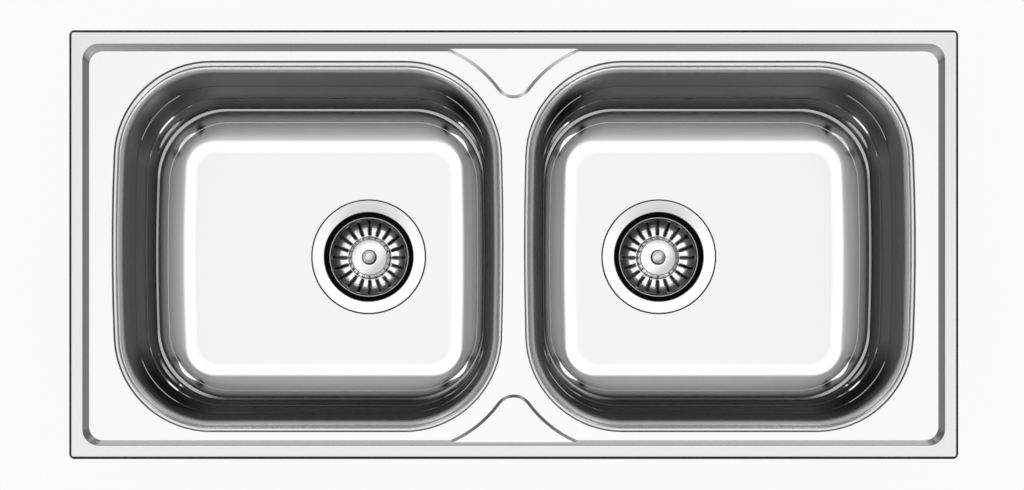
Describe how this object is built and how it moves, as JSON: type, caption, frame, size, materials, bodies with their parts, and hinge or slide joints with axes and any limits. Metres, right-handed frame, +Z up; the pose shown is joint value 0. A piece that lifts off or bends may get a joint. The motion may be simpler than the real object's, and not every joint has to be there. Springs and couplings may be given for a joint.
{
  "type": "double bowl kitchen sink",
  "caption": "Inset stainless steel kitchen sink with twin deep bowls, lift-out basket strainers, waste fittings and screw clips that hold its rim on a worktop.",
  "frame": {"origin": "middle of the worktop cut-out, level with the worktop's top, which is the lower edge of the rim", "axes": "+X along the sink to the right, +Y to the back, where the tap stands, +Z up"},
  "size_m": [0.86, 0.415, 0.2405],
  "materials": {
    "deck_steel": "fine linen-brushed stainless steel, bright",
    "bowl_steel": "satin polished deep-drawn stainless steel",
    "polished_steel": "polished stainless steel",
    "knob_chrome": "turned and satin chromed",
    "black_rubber": "moulded, slightly shiny",
    "seal_foam": "closed-cell foam strip",
    "pad_bitumen": "matt sound deadening pad",
    "white_plastic": "injection moulded polypropylene",
    "brass": "turned",
    "screw_steel": "bright zinc plated",
    "galvanised_steel": "galvanised sheet"
  },
  "bodies": {
    "root": {"body_gasket_left": "black_rubber", "body_gasket_right": "black_rubber", "bowl_left": "bowl_steel", "bowl_right": "bowl_steel", "clip_hanger_back_centre": "galvanised_steel", "clip_hanger_back_left": "galvanised_steel", "clip_hanger_back_right": "galvanised_steel", "clip_hanger_front_centre": "galvanised_steel", "clip_hanger_front_left": "galvanised_steel", "clip_hanger_front_right": "galvanised_steel", "clip_hanger_left": "galvanised_steel", "clip_hanger_right": "galvanised_steel", "clip_lug_back_centre": "galvanised_steel", "clip_lug_back_left": "galvanised_steel", "clip_lug_back_right": "galvanised_steel", "clip_lug_front_centre": "galvanised_steel", "clip_lug_front_left": "galvanised_steel", "clip_lug_front_right": "galvanised_steel", "clip_lug_left": "galvanised_steel", "clip_lug_right": "galvanised_steel", "flange_seal_left": "black_rubber", "flange_seal_right": "black_rubber", "rim_seal": "seal_foam", "sink_top": "deck_steel", "sound_pad_left": "pad_bitumen", "sound_pad_right": "pad_bitumen", "waste_body_left": "white_plastic", "waste_body_right": "white_plastic", "waste_flange_left": "polished_steel", "waste_flange_right": "polished_steel", "waste_insert_left": "brass", "waste_insert_right": "brass", "waste_screw_left": "screw_steel", "waste_screw_right": "screw_steel"},
    "strainer_left": {"basket_left": "polished_steel", "basket_seal_left": "black_rubber", "basket_knob_left": "knob_chrome"},
    "strainer_right": {"basket_right": "polished_steel", "basket_seal_right": "black_rubber", "basket_knob_right": "knob_chrome"},
    "jaw_front_left": {"clip_jaw_front_left": "galvanised_steel"},
    "screw_front_left": {"clip_screw_front_left": "screw_steel"},
    "jaw_front_centre": {"clip_jaw_front_centre": "galvanised_steel"},
    "screw_front_centre": {"clip_screw_front_centre": "screw_steel"},
    "jaw_front_right": {"clip_jaw_front_right": "galvanised_steel"},
    "screw_front_right": {"clip_screw_front_right": "screw_steel"},
    "jaw_back_left": {"clip_jaw_back_left": "galvanised_steel"},
    "screw_back_left": {"clip_screw_back_left": "screw_steel"},
    "jaw_back_centre": {"clip_jaw_back_centre": "galvanised_steel"},
    "screw_back_centre": {"clip_screw_back_centre": "screw_steel"},
    "jaw_back_right": {"clip_jaw_back_right": "galvanised_steel"},
    "screw_back_right": {"clip_screw_back_right": "screw_steel"},
    "jaw_left": {"clip_jaw_left": "galvanised_steel"},
    "screw_left": {"clip_screw_left": "screw_steel"},
    "jaw_right": {"clip_jaw_right": "galvanised_steel"},
    "screw_right": {"clip_screw_right": "screw_steel"}
  },
  "joints": [
    {"name": "strainer_lift_left", "type": "slide", "parent": "root", "child": "strainer_left", "axis": [0, 0, 1], "range_m": [0, 0.19]},
    {"name": "strainer_lift_right", "type": "slide", "parent": "root", "child": "strainer_right", "axis": [0, 0, 1], "range_m": [0, 0.19]},
    {"name": "jaw_slide_front_left", "type": "slide", "parent": "root", "child": "jaw_front_left", "axis": [0, 0, 1], "range_m": [0, 0.022]},
    {"name": "screw_turn_front_left", "type": "hinge", "parent": "jaw_front_left", "child": "screw_front_left", "pos_m": [-0.35, -0.177, -0.05], "axis": [0, 0, 1], "range_deg": [0, 9900]},
    {"name": "jaw_slide_front_centre", "type": "slide", "parent": "root", "child": "jaw_front_centre", "axis": [0, 0, 1], "range_m": [0, 0.022]},
    {"name": "screw_turn_front_centre", "type": "hinge", "parent": "jaw_front_centre", "child": "screw_front_centre", "pos_m": [0, -0.177, -0.05], "axis": [0, 0, 1], "range_deg": [0, 9900]},
    {"name": "jaw_slide_front_right", "type": "slide", "parent": "root", "child": "jaw_front_right", "axis": [0, 0, 1], "range_m": [0, 0.022]},
    {"name": "screw_turn_front_right", "type": "hinge", "parent": "jaw_front_right", "child": "screw_front_right", "pos_m": [0.35, -0.177, -0.05], "axis": [0, 0, 1], "range_deg": [0, 9900]},
    {"name": "jaw_slide_back_left", "type": "slide", "parent": "root", "child": "jaw_back_left", "axis": [0, 0, 1], "range_m": [0, 0.022]},
    {"name": "screw_turn_back_left", "type": "hinge", "parent": "jaw_back_left", "child": "screw_back_left", "pos_m": [-0.35, 0.177, -0.05], "axis": [0, 0, 1], "range_deg": [0, 9900]},
    {"name": "jaw_slide_back_centre", "type": "slide", "parent": "root", "child": "jaw_back_centre", "axis": [0, 0, 1], "range_m": [0, 0.022]},
    {"name": "screw_turn_back_centre", "type": "hinge", "parent": "jaw_back_centre", "child": "screw_back_centre", "pos_m": [0, 0.177, -0.05], "axis": [0, 0, 1], "range_deg": [0, 9900]},
    {"name": "jaw_slide_back_right", "type": "slide", "parent": "root", "child": "jaw_back_right", "axis": [0, 0, 1], "range_m": [0, 0.022]},
    {"name": "screw_turn_back_right", "type": "hinge", "parent": "jaw_back_right", "child": "screw_back_right", "pos_m": [0.35, 0.177, -0.05], "axis": [0, 0, 1], "range_deg": [0, 9900]},
    {"name": "jaw_slide_left", "type": "slide", "parent": "root", "child": "jaw_left", "axis": [0, 0, 1], "range_m": [0, 0.022]},
    {"name": "screw_turn_left", "type": "hinge", "parent": "jaw_left", "child": "screw_left", "pos_m": [-0.3995, -0.0017, -0.05], "axis": [0, 0, 1], "range_deg": [0, 9900]},
    {"name": "jaw_slide_right", "type": "slide", "parent": "root", "child": "jaw_right", "axis": [0, 0, 1], "range_m": [0, 0.022]},
    {"name": "screw_turn_right", "type": "hinge", "parent": "jaw_right", "child": "screw_right", "pos_m": [0.3995, -0.0017, -0.05], "axis": [0, 0, 1], "range_deg": [0, 9900]}
  ],
  "couplings": [
    {"joint": "screw_turn_front_left", "follows": "jaw_slide_front_left", "rad_per_m": 7854},
    {"joint": "screw_turn_front_centre", "follows": "jaw_slide_front_centre", "rad_per_m": 7854},
    {"joint": "screw_turn_front_right", "follows": "jaw_slide_front_right", "rad_per_m": 7854},
    {"joint": "screw_turn_back_left", "follows": "jaw_slide_back_left", "rad_per_m": 7854},
    {"joint": "screw_turn_back_centre", "follows": "jaw_slide_back_centre", "rad_per_m": 7854},
    {"joint": "screw_turn_back_right", "follows": "jaw_slide_back_right", "rad_per_m": 7854},
    {"joint": "screw_turn_left", "follows": "jaw_slide_left", "rad_per_m": 7854},
    {"joint": "screw_turn_right", "follows": "jaw_slide_right", "rad_per_m": 7854}
  ]
}
